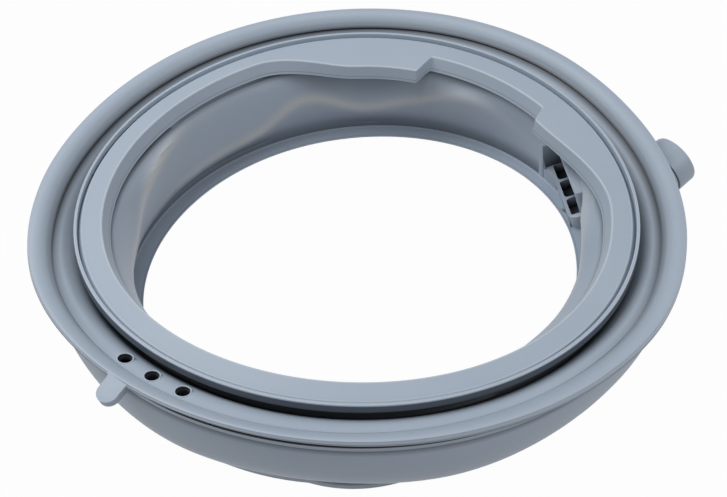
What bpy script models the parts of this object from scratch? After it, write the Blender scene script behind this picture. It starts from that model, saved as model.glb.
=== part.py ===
"""Front-loader door seal: one moulded rubber ring between the tub rim and the front panel.

Metres, +Z up. The origin is the middle of the tub-side rim, which lies flat on Z = 0.
The door side faces up, +Y is the top of the machine and -Y is the drain side.
"""
import math

import bmesh
import bpy
from mathutils import Matrix, Vector

# Front lip, clipped over the edge of the front panel
LIP_RADIUS = 0.1944
LIP_WIDTH = 0.0140
LIP_CROWN = 0.0088
LIP_EDGE = 0.0030
LIP_DRAFT = 0.0004
LIP_UNDERSIDE = 0.0009
# The lip's round top, as shares of its width and of its crown
LIP_PROFILE = ((0.14, 0.39), (0.36, 0.76), (0.63, 1.00), (0.85, 0.94))
# The same where the lip is flatter, towards the drain
LIP_FLAT_PROFILE = ((0.16, 0.24), (0.38, 0.50), (0.63, 0.74), (0.86, 0.90))
LIP_FLAT_AZIMUTH = -55.0
LIP_FLAT_REACH = 95.0
LIP_FLAT_SPREAD = 1.5
LIP_NARROWING = 0.0024
LIP_NARROW_AZIMUTH = -85.0
LIP_NARROW_REACH = 75.0
# How far the soft lip sits outwards of its circle: azimuth and distance
LIP_SETTLE = (
    (5.0, 0.0022), (24.0, 0.0012), (60.0, 0.0000), (72.0, 0.0008), (85.0, 0.0018), (100.0, 0.0017),
    (113.0, 0.0010), (127.0, 0.0004), (160.0, -0.0003), (193.0, -0.0023), (216.0, -0.0008), (241.0, 0.0012),
    (270.0, 0.0002), (300.0, -0.0004), (330.0, -0.0002), (350.0, 0.0008),
)
PANEL_GROOVE = 0.0026
PANEL_GROOVE_DEPTH = 0.0080
BAND_SETBACK = 0.0034
BAND_HEIGHT = 0.0042
BAND_HOLD = 0.0010

# Door ring, which the door glass presses on
FRONT_HEIGHT = 0.0732
RIM_SETBACK = 0.0262
RIM_RADIUS = LIP_RADIUS - RIM_SETBACK
RIM_WIDTH = 0.0017
RIM_RISE = 0.0007
RECESS_WIDTH = 0.0022
RECESS_DEPTH = 0.0042
FACE_FALL = 0.0012
FACE_WIDTH = 0.0162
RING_INNER = RIM_RADIUS - FACE_WIDTH
RING_EDGE = 0.0054
RING_DRAFT = 0.0008
RING_SKIRT = 0.0095
SKIRT_LEAN = 0.0040

# Notch at the top of the door ring, with a tongue on each side of it
NOTCH_AZIMUTH = 89.5
NOTCH_HALF_ANGLE = 17.5
NOTCH_DEPTH = 0.0045
LEFT_TONGUE = 0.0238
LEFT_TONGUE_PLATEAU = 20.0
LEFT_TONGUE_RAMP = 27.0
RIGHT_TONGUE = 0.0168
RIGHT_TONGUE_PLATEAU = 4.0
RIGHT_TONGUE_RAMP = 34.0
TONGUE_SKIRT_LEAN = 0.0015
TONGUE_EDGE = 2.5

# Drain channel between the lip and the door ring
SHEET = 0.0030
CREASE_DROP = 0.0044
CHANNEL_DEPTH = 0.0154
CHANNEL_FLOOR_INSET = 0.0042
CHANNEL_FLOOR_RADIUS = RIM_RADIUS - CHANNEL_FLOOR_INSET
RING_ROOT_INSET = 0.0088
RING_ROOT_RADIUS = RIM_RADIUS - RING_ROOT_INSET
RING_ROOT_GAP = 0.0012
CHANNEL_CORNER = 0.0028
CHANNEL_DRAFT = 0.0004
# The channel's slope up to the lip, as shares of its width and of its rise
CHANNEL_PROFILE = ((0.33, 0.28), (0.67, 0.71))

# Bellows: an outward bulge and an inward fold
BULGE_SETBACK = 0.0028
BULGE_RADIUS = LIP_RADIUS - BULGE_SETBACK
BULGE_BOTTOM = 0.0510
BULGE_WIDTH = 0.0218
BULGE_BOTTOM_RADIUS = BULGE_RADIUS - BULGE_WIDTH
# Where the bulge is drawn up and in, or hangs lower: azimuth, reach in degrees, height and inset
BULGE_TUCKS = (
    (14.0, 54.0, 0.0120, 0.0040), (240.0, 40.0, 0.0045, 0.0060), (275.0, 26.0, -0.0020, 0.0), (322.0, 24.0, -0.0018, 0.0),
)
# The bulge, as shares of its inward reach to the bottom turn and of its depth
BULGE_PROFILE = (
    (0.02, 0.235), (0.00, 0.37), (0.03, 0.53), (0.16, 0.70),
    (0.45, 0.88), (0.82, 0.97), (1.17, 0.97), (1.48, 0.80),
)
FOLD_TOP = 0.0112
FOLD_TOP_INSET = 0.0020
FOLD_TOP_RADIUS = RING_INNER - FOLD_TOP_INSET
FOLD_SHOULDER = 0.0025
FOLD_SHOULDER_DROP = 0.0200
# The fold's crest, as distances outwards from its top and below it
FOLD_PROFILE = ((0.0066, 0.0098), (0.0038, 0.0024), (0.0002, 0.0005))
# Inner wall: azimuth, inset from its foot and drop of its upper crest, then of its lower crest
WALL_CRESTS = (
    (10.0, 0.0118, 0.0355, 0.0079, 0.0500),
    (27.0, 0.0100, 0.0345, 0.0069, 0.0480),
    (38.0, 0.0100, 0.0230, 0.0044, 0.0420),
    (48.0, 0.0044, 0.0180, -0.0006, 0.0400),
    (66.0, -0.0001, 0.0180, -0.0006, 0.0400),
    (76.0, 0.0014, 0.0170, 0.0009, 0.0340),
    (94.0, 0.0024, 0.0165, 0.0069, 0.0210),
    (110.0, 0.0024, 0.0170, 0.0074, 0.0340),
    (124.0, 0.0029, 0.0180, 0.0074, 0.0425),
    (141.0, 0.0029, 0.0170, 0.0074, 0.0310),
    (156.0, 0.0022, 0.0170, 0.0074, 0.0460),
    (175.0, 0.0019, 0.0168, 0.0074, 0.0480),
    (186.0, 0.0054, 0.0170, 0.0059, 0.0500),
    (195.0, 0.0084, 0.0200, 0.0054, 0.0520),
    (203.0, 0.0092, 0.0270, 0.0054, 0.0520),
    (213.0, 0.0104, 0.0390, 0.0064, 0.0520),
    (240.0, 0.0109, 0.0370, 0.0074, 0.0500),
    (330.0, 0.0114, 0.0370, 0.0079, 0.0500),
    (352.0, 0.0134, 0.0330, 0.0084, 0.0500),
)
WALL_FOOT = 0.0048

# Tub-side collar, stretched over the rim of the tub and clamped there
COLLAR_HEIGHT = 0.0095
COLLAR_SETBACK = 0.0364
COLLAR_RADIUS = LIP_RADIUS - COLLAR_SETBACK
COLLAR_SHOULDER = 0.0022
COLLAR_ROOT = 0.0012
COLLAR_BEAD = 0.0008
COLLAR_CHAMFER = 0.0008
WALL_FOOT_INSET = 0.0096
WALL_FOOT_RADIUS = COLLAR_RADIUS - WALL_FOOT_INSET
LEDGE_WIDTH = 0.0122
LEDGE_INNER = WALL_FOOT_RADIUS - LEDGE_WIDTH
LEDGE_RELIEF = 0.0030
LEDGE_RELIEF_AZIMUTH = 62.0
LEDGE_RELIEF_REACH = 72.0
LEDGE_EDGE = 0.0004
LEDGE_THICKNESS = 0.0012
TUB_GROOVE = 0.0038
TUB_GROOVE_DEPTH = 0.0058
TUB_GROOVE_INSET = 0.0084
TUB_GROOVE_RADIUS = COLLAR_RADIUS - TUB_GROOVE_INSET
INNER_LEG = 0.0034
INNER_LEG_RISE = 0.0050
CLAMP_DROP = 0.0016
CLAMP_GROOVE = 0.0034
CLAMP_GROOVE_DEPTH = 0.0020
CLAMP_FLARE = 0.0008
LUG_AZIMUTH = -51.0
LUG_HEIGHT = 0.0046
LUG_REACH = COLLAR_RADIUS + LUG_HEIGHT
LUG_CURVE = 0.0780

# How the soft front sits: leaning to one side and slightly out of flat
LEAN = 5.16
LEAN_AZIMUTH = 41.4
WARP = 0.0041
WARP_AZIMUTH = 111.0
FOLLOW_HEIGHT = 0.8
OUTER_FOLLOW = 1.85

# Drain holes and pull tab on the drain side
HOLE_DIAMETER = 0.0075
HOLE_INSET = 0.0163
HOLE_RADIUS = LIP_RADIUS - HOLE_INSET
HOLE_AZIMUTH = -89.9
HOLE_PITCH = 6.7
HOLE_COUNT = 3
TAB_AZIMUTH = -91.8
TAB_TURN = 4.0
TAB_DROOP = 12.0
TAB_LENGTH = 0.0145
TAB_WIDTH = 0.0124
TAB_THICKNESS = 0.0046
TAB_NECK_FILLET = 0.0028
TAB_OVERLAP = 0.0006

# Inlet nozzle on the outside, and the ribbed trough inside that it feeds
NOZZLE_AZIMUTH = 53.6
NOZZLE_REACH = 0.0218
NOZZLE_END_RADIUS = LIP_RADIUS + NOZZLE_REACH
NOZZLE_DROP = 0.0216
NOZZLE_HEADING = 73.0
NOZZLE_RISE = 15.0
NOZZLE_DIAMETER = 0.0318
NOZZLE_COLLAR_DIAMETER = 0.0334
NOZZLE_COLLAR_LENGTH = 0.0143
NOZZLE_LENGTH = 0.0390
NOZZLE_BORE = 0.0240
DUCT_DIAMETER = 0.0260
DUCT_BORE = 0.0180
PORT_AZIMUTH = 58.2
PORT_INSET = 0.0049
PORT_RADIUS = WALL_FOOT_RADIUS - PORT_INSET
PORT_HEIGHT = 0.0189
PORT_HEADING = 44.0
PORT_RISE = 12.8
PORT_LENGTH = 0.0584
PORT_WIDTH = 0.0220
PORT_WALL = 0.0022
PORT_DEPTH = 0.0120
PORT_HOOD = 0.0124
PORT_OPENING = 0.0105
PORT_FLOOR = 0.0030
PORT_RIBS = 2
PORT_RIB_WIDTH = 0.0020
PORT_CORNER = 0.0055
HOOD_START = 0.6
HOOD_SETBACK = 0.0010
HOOD_LENGTH = 0.96
DUCT_START = 0.62
CUT_OVERRUN = 0.0020
ELBOW_OVERLAP = 0.0040

# Faceting
PLAIN_STEP = 7.2
NEAR_KEY = 0.34
ROUND_SIDES = 20
BORE_SIDES = 32
TAB_FILLET_STEPS = 3
TAB_TIP_STEPS = 9
CORNER_STEPS = 2
SHARP_ANGLE = 35.0

CYAN_GREY = (0.34, 0.40, 0.48, 1.0)


def eased(share):
    """Smooth step from 0 to 1."""
    share = min(max(share, 0.0), 1.0)
    return share * share * (3.0 - 2.0 * share)


def wrapped(angle):
    """The same direction between -180 and 180 degrees."""
    return (angle + 180.0) % 360.0 - 180.0


def keyed(azimuth, keys):
    """Values read at an azimuth from a closed list of (azimuth, values...), eased between keys."""
    turn = azimuth % 360.0
    closed = list(keys) + [(keys[0][0] + 360.0, *keys[0][1:])]
    for (start, *low), (end, *high) in zip(closed, closed[1:]):
        for shift in (0.0, 360.0):
            if start <= turn + shift <= end:
                share = eased((turn + shift - start) / (end - start))
                return [a + (b - a) * share for a, b in zip(low, high)]
    return list(keys[0][1:])


def ring_keys():
    """Inner radius and skirt lean of the door ring: the notch and its two tongues."""
    right = NOTCH_AZIMUTH - NOTCH_HALF_ANGLE
    left = NOTCH_AZIMUTH + NOTCH_HALF_ANGLE
    plain = (RING_INNER, SKIRT_LEAN)
    notch = (RING_INNER - NOTCH_DEPTH, SKIRT_LEAN)
    right_tongue = (RING_INNER - RIGHT_TONGUE, TONGUE_SKIRT_LEAN)
    left_tongue = (RING_INNER - LEFT_TONGUE, TONGUE_SKIRT_LEAN)
    return [
        (right - RIGHT_TONGUE_PLATEAU - RIGHT_TONGUE_RAMP, *plain),
        (right - RIGHT_TONGUE_PLATEAU, *right_tongue),
        (right - TONGUE_EDGE, *right_tongue),
        (right, *notch),
        (left, *notch),
        (left + TONGUE_EDGE, *left_tongue),
        (left + LEFT_TONGUE_PLATEAU, *left_tongue),
        (left + LEFT_TONGUE_PLATEAU + LEFT_TONGUE_RAMP, *plain),
    ]


def columns():
    """Azimuths of the section around the part, closer together where its shape turns sharply."""
    turns = [step * PLAIN_STEP for step in range(round(360.0 / PLAIN_STEP))]
    for key, *_ in ring_keys()[2:6]:
        turns = [turn for turn in turns if abs(wrapped(turn - key)) > NEAR_KEY * PLAIN_STEP]
        turns.append(key % 360.0)
    for start, end in ((2, 3), (4, 5)):
        low, high = ring_keys()[start][0], ring_keys()[end][0]
        turns += [low + (high - low) * share for share in (1.0 / 3.0, 2.0 / 3.0)]
    return sorted(turns)


def offset(path, distance):
    """A path in the section plane moved sideways, to the right of its direction."""
    moved = []
    for index, (radius, height) in enumerate(path):
        before = Vector(path[max(index - 1, 0)])
        here = Vector((radius, height))
        after = Vector(path[min(index + 1, len(path) - 1)])
        inward = (here - before).normalized() if index else (after - here).normalized()
        onward = (after - here).normalized() if index < len(path) - 1 else inward
        along = (inward + onward).normalized()
        normal = Vector((along.y, -along.x))
        stretch = 1.0 / max(normal.dot(Vector((onward.y, -onward.x))), 0.6)
        moved.append(tuple(here + normal * distance * stretch))
    return moved


def lug_radius(azimuth):
    """Outer radius of the collar's bead, with the round lug on one side."""
    turn = math.radians(wrapped(azimuth - LUG_AZIMUTH))
    centre = LUG_REACH - LUG_CURVE
    side = centre * math.sin(turn)
    bead = COLLAR_RADIUS + COLLAR_BEAD
    if abs(side) >= LUG_CURVE or math.cos(turn) < 0.0:
        return bead
    return max(bead, centre * math.cos(turn) + math.sqrt(LUG_CURVE ** 2 - side ** 2))


def ring_section(azimuth):
    """Door ring, from the bottom of its skirt over the face to the root under its rim."""
    top = FRONT_HEIGHT
    inner, lean = keyed(azimuth, ring_keys())
    recess = RIM_RADIUS - RIM_WIDTH - RECESS_WIDTH
    return [
        (inner - lean, top - RING_SKIRT),
        (inner, top),
        (recess, top - FACE_FALL),
        (RIM_RADIUS - RIM_WIDTH, top - RECESS_DEPTH),
        (RIM_RADIUS - RIM_WIDTH, top + RIM_RISE),
        (RIM_RADIUS, top + RIM_RISE),
        (RIM_RADIUS + RING_DRAFT, top + RIM_RISE - RING_EDGE),
    ]


def lip_width(azimuth):
    """Width of the lip outside the crease, narrower at the drain holes."""
    away = abs(wrapped(azimuth - LIP_NARROW_AZIMUTH)) / LIP_NARROW_REACH
    return LIP_WIDTH - LIP_NARROWING * eased(1.0 - away)


def channel_path(azimuth):
    """Upper surface of the drain channel, from the root of the door ring to the crease."""
    top = FRONT_HEIGHT
    floor = top - CHANNEL_DEPTH
    width = LIP_RADIUS - lip_width(azimuth) - CHANNEL_FLOOR_RADIUS
    rise = CHANNEL_DEPTH - CREASE_DROP
    slope = [(CHANNEL_FLOOR_RADIUS + u * width, floor + v * rise) for u, v in CHANNEL_PROFILE]
    return [
        (RING_ROOT_RADIUS, top - RING_EDGE - RING_ROOT_GAP),
        (RING_ROOT_RADIUS + CHANNEL_DRAFT, floor + CHANNEL_CORNER),
        (CHANNEL_FLOOR_RADIUS, floor),
        *slope,
        (CHANNEL_FLOOR_RADIUS + width, floor + rise),
    ]


def lip_section(azimuth):
    """Front lip: crown, edge, panel groove and the band under it."""
    width = lip_width(azimuth)
    crease = LIP_RADIUS - width
    crease_height = FRONT_HEIGHT - CREASE_DROP
    under = FRONT_HEIGHT - LIP_UNDERSIDE
    root = LIP_RADIUS - PANEL_GROOVE_DEPTH
    band = max(LIP_RADIUS - BAND_SETBACK - bulge_tuck(azimuth)[1], root + BAND_HOLD)
    away = abs(wrapped(azimuth - LIP_FLAT_AZIMUTH)) / LIP_FLAT_REACH
    flat = eased(LIP_FLAT_SPREAD * (1.0 - away))
    crown = []
    for (u, v), (flat_u, flat_v) in zip(LIP_PROFILE, LIP_FLAT_PROFILE):
        across, rise = u + (flat_u - u) * flat, v + (flat_v - v) * flat
        crown.append((crease + across * width, crease_height + rise * LIP_CROWN))
    return crown + [
        (LIP_RADIUS - LIP_DRAFT, under + LIP_EDGE),
        (LIP_RADIUS, under),
        (root, under),
        (root, under - PANEL_GROOVE),
        (band, under - PANEL_GROOVE),
        (band, under - PANEL_GROOVE - BAND_HEIGHT),
    ]


def bulge_tuck(azimuth):
    """How much higher the bulge's bottom lies at an azimuth, and how far the bulge is drawn in."""
    lift, inset = 0.0, 0.0
    for centre, reach, height, inwards in BULGE_TUCKS:
        share = eased(1.0 - abs(wrapped(azimuth - centre)) / reach)
        lift, inset = lift + height * share, inset + inwards * share
    return lift, inset


def bellows_path(azimuth):
    """Middle of the bellows wall, from under the lip to the collar."""
    top = FRONT_HEIGHT
    half = 0.5 * SHEET
    lift, inset = bulge_tuck(azimuth)
    depth = BULGE_BOTTOM - half - lift
    bulge = BULGE_RADIUS - half - inset
    width = bulge - BULGE_BOTTOM_RADIUS
    fold_top = top - FOLD_TOP - half
    upper_inset, upper_drop, lower_inset, lower_drop = keyed(azimuth, WALL_CRESTS)
    upper_radius = WALL_FOOT_RADIUS - upper_inset
    lower_radius = WALL_FOOT_RADIUS - lower_inset
    below = upper_drop - FOLD_TOP - SHEET
    shoulder = 0.5 * (FOLD_TOP_RADIUS + upper_radius + half) - FOLD_SHOULDER * eased(below / FOLD_SHOULDER_DROP)
    return [
        *[(bulge - u * width, top - v * depth) for u, v in BULGE_PROFILE],
        *[(FOLD_TOP_RADIUS + out, fold_top - down) for out, down in FOLD_PROFILE],
        (shoulder, top - 0.5 * (FOLD_TOP + SHEET + upper_drop)),
        (upper_radius + half, top - upper_drop),
        (lower_radius + half, top - lower_drop),
        (WALL_FOOT_RADIUS + half, COLLAR_HEIGHT + WALL_FOOT),
    ]


def ledge_radius(azimuth):
    """Inner radius of the ledge, eased outwards on the inlet's side."""
    away = abs(wrapped(azimuth - LEDGE_RELIEF_AZIMUTH)) / LEDGE_RELIEF_REACH
    return LEDGE_INNER + LEDGE_RELIEF * eased(1.0 - away)


def collar_section(azimuth):
    """Tub-side collar, from its outer shoulder round the tub groove to the ledge inside."""
    bead = lug_radius(azimuth)
    ledge = ledge_radius(azimuth)
    clamp_top = COLLAR_HEIGHT - CLAMP_DROP
    clamp_floor = COLLAR_RADIUS - CLAMP_GROOVE_DEPTH
    groove_out = TUB_GROOVE_RADIUS + 0.5 * TUB_GROOVE
    groove_in = TUB_GROOVE_RADIUS - 0.5 * TUB_GROOVE
    leg_in = groove_in - INNER_LEG
    ledge_under = COLLAR_HEIGHT - LEDGE_THICKNESS
    return [
        (COLLAR_RADIUS - COLLAR_SHOULDER, COLLAR_HEIGHT + COLLAR_ROOT),
        (COLLAR_RADIUS, clamp_top + CLAMP_FLARE),
        (clamp_floor, clamp_top - CLAMP_FLARE),
        (clamp_floor, clamp_top - CLAMP_GROOVE + CLAMP_FLARE),
        (bead, clamp_top - CLAMP_GROOVE),
        (bead - COLLAR_CHAMFER, 0.0),
        (groove_out, 0.0),
        (groove_out, TUB_GROOVE_DEPTH),
        (groove_in, TUB_GROOVE_DEPTH),
        (groove_in, INNER_LEG_RISE),
        (leg_in, INNER_LEG_RISE),
        (leg_in, ledge_under - COLLAR_CHAMFER),
        (ledge + LEDGE_EDGE, ledge_under),
        (ledge, COLLAR_HEIGHT),
        (WALL_FOOT_RADIUS, COLLAR_HEIGHT),
    ]


def section(azimuth):
    """The whole closed section at one azimuth, as (radius, height) pairs."""
    channel = channel_path(azimuth)
    bellows = bellows_path(azimuth)
    under_channel = offset(channel, SHEET)
    outside = offset(bellows, -0.5 * SHEET)
    inside = offset(bellows, 0.5 * SHEET)
    ring = ring_section(azimuth)
    return (
        ring
        + channel
        + lip_section(azimuth)
        + outside
        + collar_section(azimuth)
        + list(reversed(inside))
        + list(reversed(under_channel))
    )


def front_matrix():
    """Turns the front of the part as it leans."""
    turn = math.radians(LEAN_AZIMUTH + 90.0)
    return Matrix.Rotation(math.radians(LEAN), 3, Vector((math.cos(turn), math.sin(turn), 0.0)))


def follow(radius, height):
    """How far a point moves with the leaning front: 0 at the collar, 1 at the front."""
    rise = height - COLLAR_HEIGHT
    if rise <= 0.0:
        return 0.0
    outward = max(radius - COLLAR_RADIUS, 0.0)
    return eased((rise + OUTER_FOLLOW * outward) / (FOLLOW_HEIGHT * FRONT_HEIGHT - COLLAR_HEIGHT))


def place(azimuth, radius, height):
    """Where a point of the section lies, with the lean, the warp and the lip as it sits."""
    turn = math.radians(azimuth)
    warp = WARP * math.cos(2.0 * math.radians(azimuth - WARP_AZIMUTH))
    flat = Vector((radius * math.cos(turn), radius * math.sin(turn), height))
    leaning = front_matrix() @ (flat + Vector((0.0, 0.0, warp)))
    outward = (radius - CHANNEL_FLOOR_RADIUS) / (LIP_RADIUS - LIP_WIDTH - CHANNEL_FLOOR_RADIUS)
    leaning += direction(azimuth, 0.0) * keyed(azimuth, LIP_SETTLE)[0] * eased(outward)
    return flat.lerp(leaning, follow(radius, height))


def direction(heading, rise):
    """A unit direction from its heading and its rise above level, in degrees."""
    turn = math.radians(heading)
    lift = math.radians(rise)
    return Vector((math.cos(turn) * math.cos(lift), math.sin(turn) * math.cos(lift), math.sin(lift)))


def mesh_object(name, points, faces, triangles=False):
    """An object with a mesh from points and faces, with its faces turned outwards."""
    mesh = bpy.data.meshes.new(name)
    mesh.from_pydata([tuple(point) for point in points], [], faces)
    work = bmesh.new()
    work.from_mesh(mesh)
    bmesh.ops.recalc_face_normals(work, faces=work.faces)
    if triangles:
        bmesh.ops.triangulate(work, faces=work.faces)
    work.to_mesh(mesh)
    work.free()
    body = bpy.data.objects.new(name, mesh)
    bpy.context.scene.collection.objects.link(body)
    return body


def swept_ring(name):
    """The seal's ring, lofted through its sections."""
    turns = columns()
    sections = [[place(turn, *point) for point in section(turn)] for turn in turns]
    count = len(sections[0])
    points = [point for ring in sections for point in ring]
    faces = []
    for column in range(len(turns)):
        here = column * count
        there = (column + 1) % len(turns) * count
        for row in range(count):
            ahead = (row + 1) % count
            faces.append((here + row, here + ahead, there + ahead, there + row))
    return mesh_object(name, points, faces, triangles=True)


def extruded(name, outline, origin, across, up, depth):
    """A prism of an outline in the plane of two directions, with its depth along their normal."""
    normal = across.cross(up)
    low = [origin + across * u + up * v for u, v in outline]
    high = [point + normal * depth for point in low]
    count = len(outline)
    faces = [tuple(range(count)), tuple(range(count, 2 * count))]
    for index in range(count):
        ahead = (index + 1) % count
        faces.append((index, ahead, count + ahead, count + index))
    return mesh_object(name, low + high, faces)


def rod(name, start, end, diameter, sides=ROUND_SIDES):
    """A round bar between two points."""
    axis = end - start
    side = axis.orthogonal().normalized()
    up = axis.normalized().cross(side)
    corners = [2.0 * math.pi * index / sides for index in range(sides)]
    outline = [(0.5 * diameter * math.cos(turn), 0.5 * diameter * math.sin(turn)) for turn in corners]
    return extruded(name, outline, start, side, up, axis.length)


def boolean(body, tool, operation):
    """Joins a tool to the body or cuts it out of the body, and removes the tool."""
    tool.hide_render = True
    tool.display_type = 'WIRE'
    modifier = body.modifiers.new(operation.lower(), 'BOOLEAN')
    modifier.operation = operation
    modifier.solver = 'EXACT'
    modifier.object = tool
    bpy.context.view_layer.update()
    evaluated = body.evaluated_get(bpy.context.evaluated_depsgraph_get())
    mesh = bpy.data.meshes.new_from_object(evaluated)
    body.modifiers.remove(modifier)
    body.data = mesh
    bpy.data.objects.remove(tool)


def tab_outline():
    """Pull tab seen from above: root, neck fillets, straight sides and a round end."""
    half = 0.5 * TAB_WIDTH
    fillet = TAB_NECK_FILLET
    side = [(0.0, half + fillet)]
    for step in range(1, TAB_FILLET_STEPS + 1):
        turn = math.radians(90.0 * step / TAB_FILLET_STEPS)
        side.append((fillet * (1.0 - math.cos(turn)), half + fillet * (1.0 - math.sin(turn))))
    end_centre = TAB_LENGTH - half
    tip = []
    for step in range(1, TAB_TIP_STEPS):
        turn = math.radians(90.0 - 180.0 * step / TAB_TIP_STEPS)
        tip.append((end_centre + half * math.cos(turn), half * math.sin(turn)))
    side.append((end_centre, half))
    mirrored = [(u, -v) for u, v in reversed(side)]
    return side + tip + mirrored


def add_tab(body):
    """The flat pull tab on the edge of the lip."""
    top = FRONT_HEIGHT - LIP_UNDERSIDE + LIP_EDGE
    root = place(TAB_AZIMUTH, LIP_RADIUS - TAB_OVERLAP, top)
    up = front_matrix() @ Vector((0.0, 0.0, 1.0))
    out = front_matrix() @ direction(TAB_AZIMUTH + TAB_TURN, -TAB_DROOP)
    side = up.cross(out).normalized()
    under = root - out.cross(side) * TAB_THICKNESS
    tab = extruded("tab", tab_outline(), under, out, side, TAB_THICKNESS)
    boolean(body, tab, 'UNION')


def cut_drain_holes(body):
    """The drain holes through the channel, square to its slope."""
    for index in range(HOLE_COUNT):
        azimuth = HOLE_AZIMUTH + (index - 0.5 * (HOLE_COUNT - 1)) * HOLE_PITCH
        low, high = channel_path(azimuth)[-2:]
        share = (HOLE_RADIUS - low[0]) / (high[0] - low[0])
        height = low[1] + share * (high[1] - low[1])
        middle = place(azimuth, HOLE_RADIUS, height)
        along = place(azimuth, *high) - place(azimuth, *low)
        around = place(azimuth + 1.0, HOLE_RADIUS, height) - middle
        axis = along.cross(around).normalized()
        reach = 2.0 * SHEET
        boolean(body, rod("drain", middle - axis * reach, middle + axis * reach, HOLE_DIAMETER), 'DIFFERENCE')


def nozzle_points():
    """End of the nozzle, its direction outwards and the elbow behind the bellows wall."""
    end = place(NOZZLE_AZIMUTH, NOZZLE_END_RADIUS, FRONT_HEIGHT - NOZZLE_DROP)
    axis = direction(NOZZLE_HEADING, NOZZLE_RISE)
    return end, axis, end - axis * NOZZLE_LENGTH


def port_frame():
    """Inner edge of the trough's rim, and the directions along it, outwards over it and up."""
    turn = math.radians(PORT_AZIMUTH)
    edge = Vector((PORT_RADIUS * math.cos(turn), PORT_RADIUS * math.sin(turn), PORT_HEIGHT))
    over = direction(PORT_HEADING, PORT_RISE)
    along = Vector((0.0, 0.0, 1.0)).cross(over).normalized()
    return edge, along, over, along.cross(over) * -1.0


def slot_outline(length, height, corner):
    """A rectangle with rounded corners around the origin."""
    points = []
    for quarter, (u, v) in enumerate(((1, 1), (-1, 1), (-1, -1), (1, -1))):
        for step in range(CORNER_STEPS + 1):
            turn = math.radians(90.0 * (quarter + step / CORNER_STEPS))
            points.append((u * (0.5 * length - corner) + corner * math.cos(turn),
                           v * (0.5 * height - corner) + corner * math.sin(turn)))
    return points


def port_box(name, start, reach, low, high, length, corner):
    """A rounded box on the port: its span over the rim, its span in height and its length."""
    edge, along, over, up = port_frame()
    middle = edge + over * (start + 0.5 * reach) + up * low
    return extruded(name, slot_outline(reach, length, corner), middle, over, along, high - low)


def duct_ends():
    """The duct's middle line, from the hood behind the trough to the nozzle's elbow."""
    edge, along, over, up = port_frame()
    return edge + over * DUCT_START * PORT_WIDTH, nozzle_points()[2]


def add_inlet(body):
    """The nozzle, the duct behind it, the trough's rim and the hood over its back."""
    end, axis, elbow = nozzle_points()
    start, elbow = duct_ends()
    neck_start = elbow - axis * ELBOW_OVERLAP
    boolean(body, rod("neck", neck_start, end - axis * TAB_OVERLAP, NOZZLE_DIAMETER), 'UNION')
    boolean(body, rod("collar", end - axis * NOZZLE_COLLAR_LENGTH, end, NOZZLE_COLLAR_DIAMETER), 'UNION')
    boolean(body, rod("duct", start, elbow, DUCT_DIAMETER), 'UNION')
    trough = port_box("trough", 0.0, PORT_WIDTH, -PORT_DEPTH, 0.0, PORT_LENGTH, PORT_CORNER)
    boolean(body, trough, 'UNION')
    back = HOOD_START * PORT_WIDTH
    length = HOOD_LENGTH * PORT_LENGTH
    reach = PORT_WIDTH - back - HOOD_SETBACK
    hood = port_box("hood", back, reach, HOOD_SETBACK - PORT_DEPTH, PORT_HOOD, length, 0.5 * PORT_CORNER)
    boolean(body, hood, 'UNION')


def cut_inlet(body):
    """The bores of the nozzle and the duct, and the trough's cells between its ribs."""
    end, axis, elbow = nozzle_points()
    start, elbow = duct_ends()
    boolean(body, rod("bore", elbow, end + axis * CUT_OVERRUN, NOZZLE_BORE, BORE_SIDES), 'DIFFERENCE')
    boolean(body, rod("duct bore", start, elbow + axis * CUT_OVERRUN, DUCT_BORE), 'DIFFERENCE')
    cells = PORT_RIBS + 1
    length = (HOOD_LENGTH * PORT_LENGTH - 2.0 * PORT_WALL - PORT_RIBS * PORT_RIB_WIDTH) / cells
    along = port_frame()[1]
    low = PORT_FLOOR - PORT_DEPTH
    for index in range(cells):
        shift = (index - 0.5 * (cells - 1)) * (length + PORT_RIB_WIDTH)
        cell = port_box("cell", PORT_WALL, PORT_WIDTH - 2.0 * PORT_WALL, low, PORT_OPENING, length, PORT_WALL)
        cell.data.transform(Matrix.Translation(along * shift))
        boolean(body, cell, 'DIFFERENCE')


def rubber(name, colour, roughness):
    """Satin moulded rubber."""
    material = bpy.data.materials.new(name)
    material.use_nodes = True
    shader = material.node_tree.nodes["Principled BSDF"]
    shader.inputs["Base Color"].default_value = colour
    shader.inputs["Roughness"].default_value = roughness
    shader.inputs["Metallic"].default_value = 0.0
    return material


def build():
    """The whole seal as one moulded piece."""
    for old in list(bpy.data.objects):
        bpy.data.objects.remove(old)
    seal = swept_ring("door_seal")
    add_tab(seal)
    add_inlet(seal)
    cut_inlet(seal)
    cut_drain_holes(seal)
    seal.data.materials.clear()
    seal.data.materials.append(rubber("blue-grey rubber", CYAN_GREY, 0.45))
    seal.data.shade_smooth()
    seal.data.set_sharp_from_angle(angle=math.radians(SHARP_ANGLE))


build()
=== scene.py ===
"""A front-loader's door seal: one ring of blue-grey rubber, seen from above on a white table."""
import math

import bpy
import numpy as np
from mathutils import Matrix, Vector
from mathutils.kdtree import KDTree


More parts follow.
